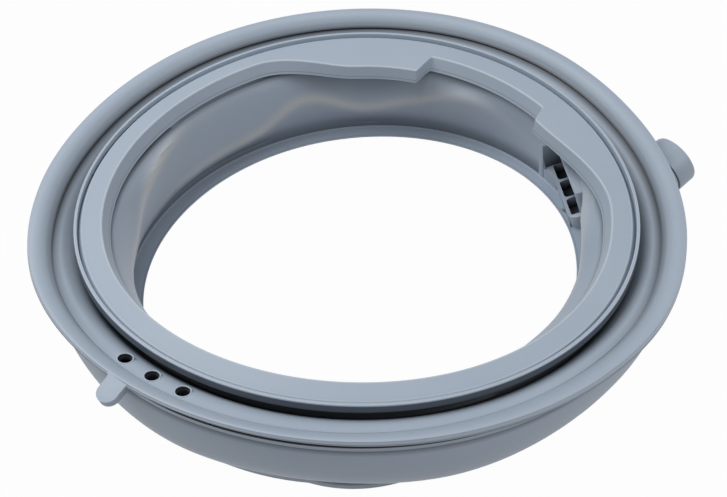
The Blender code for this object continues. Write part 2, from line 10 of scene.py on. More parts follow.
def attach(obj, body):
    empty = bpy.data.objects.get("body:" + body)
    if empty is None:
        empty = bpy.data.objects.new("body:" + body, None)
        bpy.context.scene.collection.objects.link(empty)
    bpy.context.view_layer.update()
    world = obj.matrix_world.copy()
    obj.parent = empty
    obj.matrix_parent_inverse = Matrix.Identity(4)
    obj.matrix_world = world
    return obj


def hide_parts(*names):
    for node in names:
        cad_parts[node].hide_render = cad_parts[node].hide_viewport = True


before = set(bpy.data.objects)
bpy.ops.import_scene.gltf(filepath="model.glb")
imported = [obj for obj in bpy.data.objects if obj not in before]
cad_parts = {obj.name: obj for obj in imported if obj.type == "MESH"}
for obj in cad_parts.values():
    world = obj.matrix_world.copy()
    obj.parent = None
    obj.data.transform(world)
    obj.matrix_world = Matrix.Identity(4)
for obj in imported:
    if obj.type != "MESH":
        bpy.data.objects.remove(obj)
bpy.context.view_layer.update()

# The camera looks down on the seal from beyond its drain side, as in the photograph:
# about 0.75 m away and 43 degrees above the door ring.
EYE = Vector((0.3849, -0.42078, 0.56126))
PICTURE_RIGHT = Vector((0.79739, 0.59621, -0.09324))
PICTURE_UP = Vector((-0.35678, 0.5904, 0.72397))
TOWARDS_EYE = Vector((0.48669, -0.54402, 0.6835))
LENS = 61.84

bpy.ops.object.camera_add(location=EYE)
camera = bpy.context.object
turned = Matrix((PICTURE_RIGHT, PICTURE_UP, TOWARDS_EYE)).transposed()
camera.matrix_world = Matrix.Translation(EYE) @ turned.to_4x4()
camera.data.sensor_width = 36.0
camera.data.lens = LENS
camera.data.clip_start = 0.01
bpy.context.scene.camera = camera

# The ring of the seal: a front lip that grips the panel's edge, a drain channel, the flat
# ring that the door glass presses on, the folded bellows and the collar on the tub's rim.
# It is moulded in one piece, so one section is spun round and then pressed into shape.
LIP_RADIUS = 0.1944
LIP_WIDTH = 0.0140
LIP_CROWN = 0.0088
LIP_EDGE = 0.0030
LIP_DRAFT = 0.0004
LIP_UNDERSIDE = 0.0009
LIP_NEAR_LIFT = 0.0022
LIP_PROFILE = ((0.10, 0.30), (0.22, 0.60), (0.40, 0.87), (0.63, 1.00), (0.80, 0.97))
LIP_FLAT_PROFILE = ((0.12, 0.16), (0.30, 0.40), (0.50, 0.62), (0.70, 0.80), (0.86, 0.90))
LIP_FLAT_AZIMUTH = -55.0
LIP_FLAT_REACH = 95.0
LIP_FLAT_SPREAD = 1.5
LIP_NARROWING = 0.0024
LIP_NARROW_AZIMUTH = -85.0
LIP_NARROW_REACH = 75.0
# How far the soft lip sits outwards of its circle: azimuth and distance
LIP_SETTLE = (
    (5.0, 0.0022), (24.0, 0.0012), (60.0, 0.0000), (72.0, 0.0008), (85.0, 0.0018), (100.0, 0.0017),
    (113.0, 0.0010), (127.0, 0.0004), (160.0, -0.0003), (193.0, -0.0023), (216.0, -0.0008), (241.0, 0.0012),
    (270.0, 0.0002), (300.0, -0.0004), (330.0, -0.0002), (350.0, 0.0008),
)
CREASE_GROOVE = 0.0009
PANEL_GROOVE = 0.0038
PANEL_GROOVE_DEPTH = 0.0080
GROOVE_FALL = 0.0016
BAND_SETBACK = 0.0034
BAND_HEIGHT = 0.0030
BAND_HOLD = 0.0010

FRONT_HEIGHT = 0.0732
RIM_RADIUS = 0.1682
RIM_WIDTH = 0.0017
RIM_RISE = 0.0007
RECESS_WIDTH = 0.0022
RECESS_DEPTH = 0.0042
FACE_FALL = 0.0012
RING_INNER = 0.1520
RING_EDGE = 0.0054
RING_DRAFT = 0.0008
RING_SKIRT = 0.0095
SKIRT_LEAN = 0.0040

NOTCH_AZIMUTH = 89.5
NOTCH_HALF_ANGLE = 17.6
NOTCH_DEPTH = 0.0045
LEFT_TONGUE = 0.0238
LEFT_TONGUE_PLATEAU = 20.0
LEFT_TONGUE_RAMP = 27.0
RIGHT_TONGUE = 0.0168
RIGHT_TONGUE_PLATEAU = 4.0
RIGHT_TONGUE_RAMP = 34.0
TONGUE_SKIRT_LEAN = 0.0015
TONGUE_EDGE = 2.5
LEFT_TONGUE_EDGE = 1.4
TONGUE_ROUND = 0.6

SHEET = 0.0030
CREASE_DROP = 0.0044
CHANNEL_DEPTH = 0.0154
CHANNEL_FLOOR_RADIUS = 0.1640
RING_ROOT_RADIUS = 0.1594
RING_ROOT_GAP = 0.0012
CHANNEL_CORNER = 0.0028
CHANNEL_DRAFT = 0.0004
CHANNEL_PROFILE = ((0.33, 0.28), (0.67, 0.71))
CHANNEL_FLAT_PROFILE = ((0.30, 0.56), (0.64, 0.90))

BULGE_RADIUS = 0.1916
BULGE_BOTTOM = 0.0510
BULGE_BOTTOM_RADIUS = 0.1698
# Where the bulge is drawn up and in, or hangs lower: azimuth, reach in degrees, height and inset
BULGE_TUCKS = (
    (14.0, 54.0, 0.0120, 0.0040), (240.0, 40.0, 0.0045, 0.0060),
    (275.0, 26.0, -0.0020, 0.0), (322.0, 24.0, -0.0018, 0.0),
)
BULGE_PROFILE = (
    (0.02, 0.235), (0.00, 0.37), (0.03, 0.53), (0.16, 0.70),
    (0.45, 0.88), (0.82, 0.97), (1.17, 0.97), (1.48, 0.80),
)
FOLD_TOP = 0.0112
FOLD_TOP_RADIUS = 0.1500
FOLD_SHOULDER = 0.0025
FOLD_SHOULDER_DROP = 0.0200
FOLD_PROFILE = ((0.0066, 0.0098), (0.0038, 0.0024), (0.0002, 0.0005))
WALL_CRESTS = (
    (10.0, 0.1366, 0.0355, 0.1405, 0.0500),
    (27.0, 0.1384, 0.0345, 0.1415, 0.0480),
    (38.0, 0.1384, 0.0230, 0.1440, 0.0420),
    (48.0, 0.1440, 0.0180, 0.1490, 0.0400),
    (66.0, 0.1485, 0.0180, 0.1490, 0.0400),
    (76.0, 0.1470, 0.0170, 0.1475, 0.0340),
    (94.0, 0.1460, 0.0165, 0.1415, 0.0210),
    (110.0, 0.1460, 0.0170, 0.1410, 0.0340),
    (124.0, 0.1455, 0.0180, 0.1410, 0.0425),
    (141.0, 0.1455, 0.0170, 0.1410, 0.0310),
    (156.0, 0.1462, 0.0170, 0.1410, 0.0460),
    (175.0, 0.1465, 0.0168, 0.1410, 0.0480),
    (186.0, 0.1430, 0.0170, 0.1425, 0.0500),
    (195.0, 0.1400, 0.0200, 0.1430, 0.0520),
    (203.0, 0.1392, 0.0270, 0.1430, 0.0520),
    (213.0, 0.1380, 0.0390, 0.1420, 0.0520),
    (240.0, 0.1375, 0.0370, 0.1410, 0.0500),
    (330.0, 0.1370, 0.0370, 0.1405, 0.0500),
    (352.0, 0.1350, 0.0330, 0.1400, 0.0500),
)
# Painted highlight along the wall's upper and lower crests: how strong it is at each
CREST_HIGHLIGHT_STRENGTH = (
    (10.0, 0.6, 0.0), (38.0, 0.7, 0.0), (60.0, 0.0, 0.0), (84.0, 0.0, 0.2), (101.0, 0.0, 0.7), (119.0, 0.0, 0.9),
    (141.0, 0.0, 1.0), (158.0, 0.0, 0.8), (178.0, 0.3, 0.5), (192.0, 1.0, 0.2), (205.0, 1.0, 0.0),
    (240.0, 0.5, 0.0), (330.0, 0.4, 0.0),
)
# Painted shade on the wall: below the ring, under its tongues and above the ledge
SHADE_DROP = 0.0118
GAP_FADE, GAP_DARK = 0.0022, 0.95
HOLLOW_FADE, HOLLOW_DARK = 0.0240, 0.45
FOOT_FADE, FOOT_DARK = 0.0150, 0.80
SEEN_MARGIN = 0.0012
CREST_SPREAD = 0.0040
WALL_FOOT = 0.0048
WALL_FOOT_RADIUS = 0.1484

COLLAR_HEIGHT = 0.0095
COLLAR_RADIUS = 0.1580
COLLAR_SHOULDER = 0.0022
COLLAR_ROOT = 0.0012
COLLAR_BEAD = 0.0008
COLLAR_CHAMFER = 0.0008
LEDGE_INNER = 0.1362
LEDGE_RELIEF = 0.0030
LEDGE_RELIEF_AZIMUTH = 62.0
LEDGE_RELIEF_REACH = 72.0
LEDGE_EDGE = 0.0004
LEDGE_THICKNESS = 0.0012
TUB_GROOVE = 0.0038
TUB_GROOVE_DEPTH = 0.0058
TUB_GROOVE_RADIUS = 0.1496
INNER_LEG = 0.0034
INNER_LEG_RISE = 0.0050
CLAMP_DROP = 0.0016
CLAMP_GROOVE = 0.0034
CLAMP_GROOVE_DEPTH = 0.0020
CLAMP_FLARE = 0.0008
LUG_AZIMUTH = -51.0
LUG_REACH = 0.1626
LUG_CURVE = 0.0780

LEAN = 5.16
LEAN_AZIMUTH = 41.4
WARP = 0.0041
WARP_AZIMUTH = 111.0
FOLLOW_HEIGHT = 0.8
OUTER_FOLLOW = 1.85

DARK_BELOW = -0.5
COLUMN_STEP = 1.5
FINE_STEP = 0.30
FINE_REACH = 2.1
WALL_SAMPLES = 56
CHANNEL_SAMPLES = 20
CHANNEL_DARK_ROWS = 13.0
CHANNEL_DARK_REACH = 110.0


def eased(share):
    """Smooth step from 0 to 1."""
    share = min(max(share, 0.0), 1.0)
    return share * share * (3.0 - 2.0 * share)


def wrapped(angle):
    """The same direction between -180 and 180 degrees."""
    return (angle + 180.0) % 360.0 - 180.0


def keyed(azimuth, keys):
    """Values read at an azimuth from a closed list of keys, smooth through each key."""
    turn = azimuth % 360.0
    angles = [key[0] for key in keys]
    last = max((index for index in range(len(keys)) if angles[index] <= turn), default=len(keys) - 1)
    around = [keys[(last + step) % len(keys)] for step in (-1, 0, 1, 2)]
    start = around[1][0]
    span = (around[2][0] - start) % 360.0
    share = ((turn - start) % 360.0) / span
    before = (start - around[0][0]) % 360.0
    after = (around[3][0] - around[2][0]) % 360.0
    values = []
    for p0, p1, p2, p3 in zip(*(key[1:] for key in around)):
        slope1 = (p2 - p0) / (before + span) * span
        slope2 = (p3 - p1) / (span + after) * span
        if (p1 - p0) * (p2 - p1) <= 0.0:
            slope1 = 0.0
        if (p2 - p1) * (p3 - p2) <= 0.0:
            slope2 = 0.0
        t, tt, ttt = share, share ** 2, share ** 3
        values.append((2 * ttt - 3 * tt + 1) * p1 + (ttt - 2 * tt + t) * slope1
                      + (3 * tt - 2 * ttt) * p2 + (ttt - tt) * slope2)
    return values


def ring_inner(azimuth):
    """Inner radius and skirt lean of the door ring, with its notch and two tongues."""
    right = NOTCH_AZIMUTH - NOTCH_HALF_ANGLE
    left = NOTCH_AZIMUTH + NOTCH_HALF_ANGLE
    usual = (RING_INNER, SKIRT_LEAN)
    notch = (RING_INNER - NOTCH_DEPTH, SKIRT_LEAN)
    right_tongue = (RING_INNER - RIGHT_TONGUE, TONGUE_SKIRT_LEAN)
    left_tongue = (RING_INNER - LEFT_TONGUE, TONGUE_SKIRT_LEAN)
    keys = [
        (right - RIGHT_TONGUE_PLATEAU - RIGHT_TONGUE_RAMP, *usual),
        (right - RIGHT_TONGUE_PLATEAU, *right_tongue),
        (right - TONGUE_EDGE - TONGUE_ROUND, *right_tongue),
        (right + TONGUE_ROUND, *notch),
        (left - TONGUE_ROUND, *notch),
        (left + LEFT_TONGUE_EDGE + TONGUE_ROUND, *left_tongue),
        (left + LEFT_TONGUE_PLATEAU, *left_tongue),
        (left + LEFT_TONGUE_PLATEAU + LEFT_TONGUE_RAMP, *usual),
    ]
    turn = azimuth % 360.0
    for (start, *low), (end, *high) in zip(keys, keys[1:]):
        if start <= turn <= end:
            share = eased((turn - start) / (end - start))
            return [a + (b - a) * share for a, b in zip(low, high)]
    return list(usual)


def rounded(corners, steps=3):
    """Rows through (radius, height, rounding, line) corners, each with an arc between two supports.

    Line figures paint a highlight above 0 and shade below 0. Between two dark corners the supports stay dark as
    well.
    """
    rows = []
    count = len(corners)
    lines = [corner[3] if len(corner) > 3 else 0.0 for corner in corners]
    for index, (radius, height, rounding, *_) in enumerate(corners):
        line = lines[index]
        here = np.array((radius, height))
        if index in (0, count - 1) or rounding == 0.0:
            rows.append((*here, line, 0.0))
            continue
        before = np.array(corners[index - 1][:2]) - here
        after = np.array(corners[index + 1][:2]) - here
        cut_in = before / np.linalg.norm(before) * min(rounding, 0.4 * np.linalg.norm(before))
        cut_out = after / np.linalg.norm(after) * min(rounding, 0.4 * np.linalg.norm(after))
        lighter = [max(line, other) for other in lines[index - 1:index + 2:2]]
        dark_in, dark_out = (mark if mark < DARK_BELOW else 0.0 for mark in lighter)
        rows.append((*(here + cut_in * 1.2), dark_in, 0.0))
        for step in range(steps + 1):
            t = step / steps
            rows.append((*(here + cut_in * (1.0 - t) ** 2 + cut_out * t ** 2), line, 0.0))
        rows.append((*(here + cut_out * 1.2), dark_out, 0.0))
    return np.array(rows)


def plain(line, mark=0.0, bloom=0.0):
    """A plain line as section rows, with its painted highlight and shade mark and its painted crest highlight."""
    line = np.asarray(line)
    return np.column_stack((line, np.broadcast_to(mark, len(line)), np.broadcast_to(bloom, len(line))))


def smooth_line(points, samples):
    """A smooth curve through points, sampled evenly along its length."""
    knots = np.array(points)
    padded = np.vstack((2 * knots[0] - knots[1], knots, 2 * knots[-1] - knots[-2]))
    dense = []
    for p0, p1, p2, p3 in zip(padded, padded[1:], padded[2:], padded[3:]):
        d0, d1, d2 = (max(np.linalg.norm(b - a), 1e-9) ** 0.5 for a, b in ((p0, p1), (p1, p2), (p2, p3)))
        slope1 = ((p1 - p0) / d0 - (p2 - p0) / (d0 + d1) + (p2 - p1) / d1) * d1
        slope2 = ((p2 - p1) / d1 - (p3 - p1) / (d1 + d2) + (p3 - p2) / d2) * d1
        for t in np.linspace(0.0, 1.0, 24, endpoint=False):
            dense.append((2 * t ** 3 - 3 * t ** 2 + 1) * p1 + (t ** 3 - 2 * t ** 2 + t) * slope1
                         + (3 * t ** 2 - 2 * t ** 3) * p2 + (t ** 3 - t ** 2) * slope2)
    dense.append(knots[-1])
    dense = np.array(dense)
    lengths = np.concatenate(([0.0], np.cumsum(np.linalg.norm(np.diff(dense, axis=0), axis=1))))
    marks = np.linspace(0.0, lengths[-1], samples)
    return np.column_stack([np.interp(marks, lengths, dense[:, axis]) for axis in (0, 1)])


def beside(line, distance):
    """A line moved sideways, to the right of its direction."""
    along = np.gradient(line, axis=0)
    along /= np.linalg.norm(along, axis=1)[:, None]
    return line + np.column_stack((along[:, 1], -along[:, 0])) * distance


def lip_width(azimuth):
    """Width of the lip outside the crease, narrower at the drain holes."""
    away = abs(wrapped(azimuth - LIP_NARROW_AZIMUTH)) / LIP_NARROW_REACH
    return LIP_WIDTH - LIP_NARROWING * eased(1.0 - away)


def bulge_tuck(azimuth):
    """How much higher the bulge's bottom lies at an azimuth, and how far the bulge is drawn in."""
    lift, inset = 0.0, 0.0
    for centre, reach, height, inwards in BULGE_TUCKS:
        share = eased(1.0 - abs(wrapped(azimuth - centre)) / reach)
        lift, inset = lift + height * share, inset + inwards * share
    return lift, inset


def flatness(azimuth):
    """How flat the lip and the channel lie, from 0 on the far side to 1 towards the drain."""
    return eased(LIP_FLAT_SPREAD * (1.0 - abs(wrapped(azimuth - LIP_FLAT_AZIMUTH)) / LIP_FLAT_REACH))


def channel_knots(azimuth):
    """Upper surface of the drain channel, from the root of the door ring to the crease."""
    flat = flatness(azimuth)
    floor = FRONT_HEIGHT - CHANNEL_DEPTH
    width = LIP_RADIUS - lip_width(azimuth) - CHANNEL_FLOOR_RADIUS
    rise = CHANNEL_DEPTH - CREASE_DROP
    slope = []
    for (u, v), (flat_u, flat_v) in zip(CHANNEL_PROFILE, CHANNEL_FLAT_PROFILE):
        u, v = u + (flat_u - u) * flat, v + (flat_v - v) * flat
        slope.append((CHANNEL_FLOOR_RADIUS + u * width, floor + v * rise))
    return [
        (RING_ROOT_RADIUS, FRONT_HEIGHT - RING_EDGE - RING_ROOT_GAP),
        (RING_ROOT_RADIUS + CHANNEL_DRAFT, floor + CHANNEL_CORNER),
        (CHANNEL_FLOOR_RADIUS, floor),
        *slope,
        (CHANNEL_FLOOR_RADIUS + width, floor + rise),
    ]


def door_ring(azimuth):
    """Door ring: skirt, flat face, recess, raised rim and outer side."""
    top = FRONT_HEIGHT
    inner, lean = ring_inner(azimuth)
    recess = RIM_RADIUS - RIM_WIDTH - RECESS_WIDTH
    # The fourth figures paint highlights on the skirt's edge, the face's edges and the rim, and painted shade in
    # the recess and down the rim's outer side.
    return rounded([
        (RING_ROOT_RADIUS - SHEET, top - RING_EDGE - RING_ROOT_GAP, 0.0),
        (inner - lean + 0.0016, top - RING_SKIRT + 0.0006, 0.0),
        (inner - lean, top - RING_SKIRT, 0.0005, 0.8),
        (inner - 0.8 * lean, top - 0.80 * RING_SKIRT, 0.0003, -0.3),
        (inner, top, 0.0008, 0.9),
        (recess, top - FACE_FALL, 0.0006, 0.7),
        (RIM_RADIUS - RIM_WIDTH, top - RECESS_DEPTH, 0.0006, -0.5),
        (RIM_RADIUS - RIM_WIDTH, top + RIM_RISE, 0.0004, 0.8),
        (RIM_RADIUS, top + RIM_RISE, 0.0004, 1.0),
        (RIM_RADIUS + 0.0002, top + RIM_RISE - 0.0012, 0.0002, -0.86),
        (RIM_RADIUS + RING_DRAFT, top + RIM_RISE - RING_EDGE, 0.0008, -0.96),
        (RING_ROOT_RADIUS, top - RING_EDGE - RING_ROOT_GAP, 0.0),
    ])[1:-1]


def lip(azimuth):
    """Front lip: a round tube, flatter towards the drain, with its panel groove and band."""
    width = lip_width(azimuth)
    crease = LIP_RADIUS - width
    crease_height = FRONT_HEIGHT - CREASE_DROP
    top = FRONT_HEIGHT
    under = top - LIP_UNDERSIDE
    groove_end = under - PANEL_GROOVE
    root = LIP_RADIUS - PANEL_GROOVE_DEPTH
    band = max(LIP_RADIUS - BAND_SETBACK - bulge_tuck(azimuth)[1], root + BAND_HOLD)
    flat = flatness(azimuth)
    narrow = eased(1.0 - abs(wrapped(azimuth - LIP_NARROW_AZIMUTH)) / LIP_NARROW_REACH)
    crown = [(crease + 0.0005 - 0.0002 * flat, crease_height - 0.0006 + 0.0007 * flat)]
    crown.append((crease - 0.0006 + 0.0014 * flat, crease_height + 0.0010 - 0.0005 * flat))
    for (u, v), (flat_u, flat_v) in zip(LIP_PROFILE, LIP_FLAT_PROFILE):
        u, v = u + (flat_u - u) * flat, v + (flat_v - v) * flat
        crown.append((crease + u * width, crease_height + v * LIP_CROWN))
    shoulder = 0.94 - 0.06 * flat
    crown.append((LIP_RADIUS - 0.0012 + 0.0004 * flat, crease_height + shoulder * LIP_CROWN))
    # Painted shade along the crease and down the tube's inner side, strongest on the far side
    groove = plain([(crease + 0.0001, crease_height - CREASE_GROOVE * (1.0 - 0.85 * flat))], 0.85 * flat - 1.0)
    tube = -(1.0 - flat) * np.clip(1.35 - np.arange(19) / 5.0, 0.0, 1.0)
    under += LIP_NEAR_LIFT * narrow
    # Edge marks paint highlights on the lip's edge and band, and painted shade under the lip, in the panel groove
    # and below the band.
    edge = rounded([
        (*crown[-1], 0.0, 0.3 * flat),
        (LIP_RADIUS - LIP_DRAFT, top - LIP_UNDERSIDE + LIP_EDGE, 0.0006, 0.7),
        (LIP_RADIUS - 0.5 * LIP_DRAFT, under + 0.0008, 0.0003, -0.35),
        (LIP_RADIUS, under, 0.0003, -1.0),
        (root, top - LIP_UNDERSIDE - GROOVE_FALL * flat, 0.0, -1.0),
        (root, groove_end, 0.0, -1.0),
        (band, groove_end, 0.0004, -0.9),
        (band, groove_end - 0.0011, 0.0003, 0.25),
        (band, groove_end - BAND_HEIGHT, 0.0004, -0.2),
        (band - 0.0012, groove_end - BAND_HEIGHT - 0.0004, 0.0, -0.8),
    ])
    return np.vstack((groove, plain(smooth_line(crown, 20)[:-1], tube), edge))


def bellows(azimuth):
    """Middle of the bellows wall, from under the lip to the collar."""
    top = FRONT_HEIGHT
    half = 0.5 * SHEET
    lift, inset = bulge_tuck(azimuth)
    depth = BULGE_BOTTOM - half - lift
    bulge = BULGE_RADIUS - half - inset
    width = bulge - BULGE_BOTTOM_RADIUS
    fold_top = top - FOLD_TOP - half
    upper_radius, upper_drop, lower_radius, lower_drop = keyed(azimuth, WALL_CRESTS)
    below = upper_drop - FOLD_TOP - SHEET
    shoulder = 0.5 * (FOLD_TOP_RADIUS + upper_radius + half) - FOLD_SHOULDER * eased(below / FOLD_SHOULDER_DROP)
    return smooth_line([
        *[(bulge - u * width, top - v * depth) for u, v in BULGE_PROFILE],
        *[(FOLD_TOP_RADIUS + out, fold_top - down) for out, down in FOLD_PROFILE],
        (shoulder, top - 0.5 * (FOLD_TOP + SHEET + upper_drop)),
        (upper_radius + half, top - upper_drop),
        (lower_radius + half, top - lower_drop),
        (WALL_FOOT_RADIUS + half, COLLAR_HEIGHT + WALL_FOOT),
    ], WALL_SAMPLES)


def crest_highlight_rows(azimuth, inside):
    """Painted highlight along the inner wall's two crests, at each of its rows."""
    upper_radius, upper_drop, lower_radius, lower_drop = keyed(azimuth, WALL_CRESTS)
    upper, lower = keyed(azimuth, CREST_HIGHLIGHT_STRENGTH)
    bloom = np.zeros(len(inside))
    for radius, drop, strength in ((upper_radius, upper_drop, upper), (lower_radius, lower_drop, lower)):
        away = np.hypot(inside[:, 0] - radius, inside[:, 1] - FRONT_HEIGHT + drop)
        bloom = np.maximum(bloom, strength * np.exp(-(away / CREST_SPREAD) ** 2))
    return bloom


def wall_shade(azimuth, inside):
    """Painted shade on the inner wall under the ring and its tongues and above the ledge, at each row."""
    below = FRONT_HEIGHT - inside[:, 1] - SHADE_DROP
    gap = np.clip(below / GAP_FADE, 0.0, 1.0)
    overhang = (RING_INNER - ring_inner(azimuth)[0]) / LEFT_TONGUE
    hollow = overhang * np.clip(1.0 - below / HOLLOW_FADE, 0.0, 1.0)
    foot = np.clip((inside[:, 1] - COLLAR_HEIGHT) / FOOT_FADE, 0.0, 1.0)
    seen = inside[:, 0] < FOLD_TOP_RADIUS + SEEN_MARGIN
    dark = GAP_DARK * (1.0 - gap ** 0.7) + FOOT_DARK * (1.0 - foot) ** 1.2 + HOLLOW_DARK * hollow
    return np.where(seen, -np.minimum(dark, 1.0), 0.0)


def collar(azimuth):
    """Tub-side collar: clamp groove, bead with its lug, tub groove, inner leg and ledge."""
    turn = math.radians(wrapped(azimuth - LUG_AZIMUTH))
    centre = LUG_REACH - LUG_CURVE
    side = centre * math.sin(turn)
    bead = COLLAR_RADIUS + COLLAR_BEAD
    if abs(side) < LUG_CURVE and math.cos(turn) > 0.0:
        bead = max(bead, centre * math.cos(turn) + math.sqrt(LUG_CURVE ** 2 - side ** 2))
    away = abs(wrapped(azimuth - LEDGE_RELIEF_AZIMUTH)) / LEDGE_RELIEF_REACH
    ledge = LEDGE_INNER + LEDGE_RELIEF * eased(1.0 - away)
    clamp_top = COLLAR_HEIGHT - CLAMP_DROP
    clamp_floor = COLLAR_RADIUS - CLAMP_GROOVE_DEPTH
    groove_out = TUB_GROOVE_RADIUS + 0.5 * TUB_GROOVE
    groove_in = TUB_GROOVE_RADIUS - 0.5 * TUB_GROOVE
    leg_in = groove_in - INNER_LEG
    ledge_under = COLLAR_HEIGHT - LEDGE_THICKNESS
    # The fourth figures paint shade in the clamp groove and at the wall's foot, and highlights on the bead and the
    # ledge's edges.
    return rounded([
        (COLLAR_RADIUS - COLLAR_SHOULDER, COLLAR_HEIGHT + COLLAR_ROOT, 0.0, -0.3),
        (COLLAR_RADIUS, clamp_top + CLAMP_FLARE, 0.0008, 0.3),
        (clamp_floor, clamp_top - CLAMP_FLARE, 0.0005, -0.7),
        (clamp_floor, clamp_top - CLAMP_GROOVE + CLAMP_FLARE, 0.0005, -0.7),
        (bead, clamp_top - CLAMP_GROOVE, 0.0007, 0.3),
        (bead - COLLAR_CHAMFER, 0.0, 0.0005),
        (groove_out, 0.0, 0.0003),
        (groove_out, TUB_GROOVE_DEPTH, 0.0),
        (groove_in, TUB_GROOVE_DEPTH, 0.0),
        (groove_in, INNER_LEG_RISE, 0.0),
        (leg_in, INNER_LEG_RISE, 0.0),
        (leg_in, ledge_under - COLLAR_CHAMFER, 0.0004),
        (ledge + LEDGE_EDGE, ledge_under, 0.0002),
        (ledge, COLLAR_HEIGHT, 0.0003, 0.5),
        (ledge + 0.0014, COLLAR_HEIGHT - 0.0002, 0.0002, -0.25),
        (WALL_FOOT_RADIUS - 0.0014, COLLAR_HEIGHT, 0.0004, 0.7),
        (WALL_FOOT_RADIUS - 0.0006, COLLAR_HEIGHT, 0.0, 0.2),
        (WALL_FOOT_RADIUS - 0.0003, COLLAR_HEIGHT + 0.0007, 0.0, -0.75),
    ], steps=2)


def whole_section(azimuth):
    """The closed section at one azimuth, as rows of radius, height, painted highlight and shade mark, and painted
    crest highlight.
    """
    middle = bellows(azimuth)
    knots = channel_knots(azimuth)
    channel = smooth_line(knots, CHANNEL_SAMPLES)
    # Painted shade in the channel under the ring, strongest towards the drain, and a painted dark line at the
    # crease on the far side
    deep = 0.35 + 0.65 * eased(1.6 * (1.0 - abs(wrapped(azimuth - LIP_FLAT_AZIMUTH)) / CHANNEL_DARK_REACH))
    shade = -deep * np.clip((CHANNEL_DARK_ROWS - np.arange(CHANNEL_SAMPLES)) / 4.5, 0.0, 1.0)
    shade[-1] = 0.9 * flatness(azimuth) - 0.95
    shade[-2] = min(shade[-2], 0.7 * flatness(azimuth) - 0.7)
    shade[-3] = min(shade[-3], 0.4 * flatness(azimuth) - 0.4)
    outside = beside(middle, -0.5 * SHEET)
    inside = beside(middle, 0.5 * SHEET)
    under = beside(smooth_line(knots, 12), SHEET)
    wall = plain(inside, wall_shade(azimuth, inside), crest_highlight_rows(azimuth, inside))
    return np.vstack((door_ring(azimuth), plain(channel, shade), lip(azimuth), plain(outside), collar(azimuth),
                      wall[::-1], plain(under)[::-1]))


def placed(azimuth, rows):
    """Where section rows lie on the seal, with the front's lean and warp and the lip as it sits."""
    radius, height = rows[:, 0], rows[:, 1]
    turn = math.radians(azimuth)
    outwards = np.array((math.cos(turn), math.sin(turn), 0.0))
    warp = WARP * math.cos(2.0 * math.radians(azimuth - WARP_AZIMUTH))
    flat = radius[:, None] * outwards + height[:, None] * np.array((0.0, 0.0, 1.0))
    axis = math.radians(LEAN_AZIMUTH + 90.0)
    lean = Matrix.Rotation(math.radians(LEAN), 3, Vector((math.cos(axis), math.sin(axis), 0.0)))
    leaning = (flat + np.array((0.0, 0.0, warp))) @ np.array(lean).T
    reach = np.clip((radius - CHANNEL_FLOOR_RADIUS) / (LIP_RADIUS - LIP_WIDTH - CHANNEL_FLOOR_RADIUS), 0.0, 1.0)
    settle = keyed(azimuth, LIP_SETTLE)[0] * reach ** 2 * (3.0 - 2.0 * reach)
    leaning += settle[:, None] * outwards
    rise = height - COLLAR_HEIGHT
    follow = FOLLOW_HEIGHT * FRONT_HEIGHT - COLLAR_HEIGHT
    share = np.clip((rise + OUTER_FOLLOW * np.maximum(radius - COLLAR_RADIUS, 0.0)) / follow, 0.0, 1.0)
    share = np.where(rise > 0.0, share ** 2 * (3.0 - 2.0 * share), 0.0)[:, None]
    return flat + (leaning - flat) * share


columns = list(np.arange(0.0, 360.0, COLUMN_STEP))
for edge in (NOTCH_AZIMUTH - NOTCH_HALF_ANGLE, NOTCH_AZIMUTH - NOTCH_HALF_ANGLE - TONGUE_EDGE,
             NOTCH_AZIMUTH + NOTCH_HALF_ANGLE, NOTCH_AZIMUTH + NOTCH_HALF_ANGLE + TONGUE_EDGE):
    columns = [turn for turn in columns if abs(wrapped(turn - edge)) > FINE_REACH]
    columns += [edge + step for step in np.arange(-FINE_REACH, FINE_REACH + 0.01, FINE_STEP)]
columns = sorted(set(round(turn % 360.0, 3) for turn in columns))


def spun(name, rows, steps):
    """A closed outline of (radius, height) rows, spun once round the upright axis."""
    bpy.ops.object.select_all(action='DESELECT')
    bpy.ops.mesh.primitive_circle_add(vertices=len(rows), radius=0.1)
    body = bpy.context.object
    body.name = name
    for vertex, (radius, height) in zip(body.data.vertices, rows):
        vertex.co = (radius, 0.0, height)
    bpy.ops.object.mode_set(mode='EDIT')
    bpy.ops.mesh.select_all(action='SELECT')
    bpy.ops.mesh.spin(steps=steps, angle=2.0 * math.pi, center=(0.0, 0.0, 0.0), axis=(0.0, 0.0, 1.0),
                      use_auto_merge=True)
    bpy.ops.mesh.select_all(action='SELECT')
    bpy.ops.mesh.remove_doubles(threshold=0.000001)
    bpy.ops.mesh.select_all(action='SELECT')
    bpy.ops.mesh.normals_make_consistent(inside=False)
    bpy.ops.object.mode_set(mode='OBJECT')
    return body


first = whole_section(0.0)
seal = spun("moulded_seal", first[:, :2], len(columns))
points = np.empty(3 * len(seal.data.vertices))
seal.data.vertices.foreach_get("co", points)
points = points.reshape(-1, 3)
spin_step = 2.0 * math.pi / len(columns)
bearings = np.arctan2(points[:, 1], points[:, 0]) % (2.0 * math.pi)
column_of = np.rint(bearings / spin_step).astype(int) % len(columns)
section_points = np.column_stack((np.hypot(points[:, 0], points[:, 1]), points[:, 2]))
marks = np.zeros((len(points), 2))
for index, azimuth in enumerate(columns):
    mine = np.nonzero(column_of == index)[0]
    distance = ((section_points[mine][:, None, :] - first[None, :, :2]) ** 2).sum(axis=2)
    rows = whole_section(azimuth)
    order = distance.argmin(axis=1)
    points[mine] = placed(azimuth, rows)[order]
    marks[mine] = rows[order, 2:]
seal.data.vertices.foreach_set("co", points.ravel())
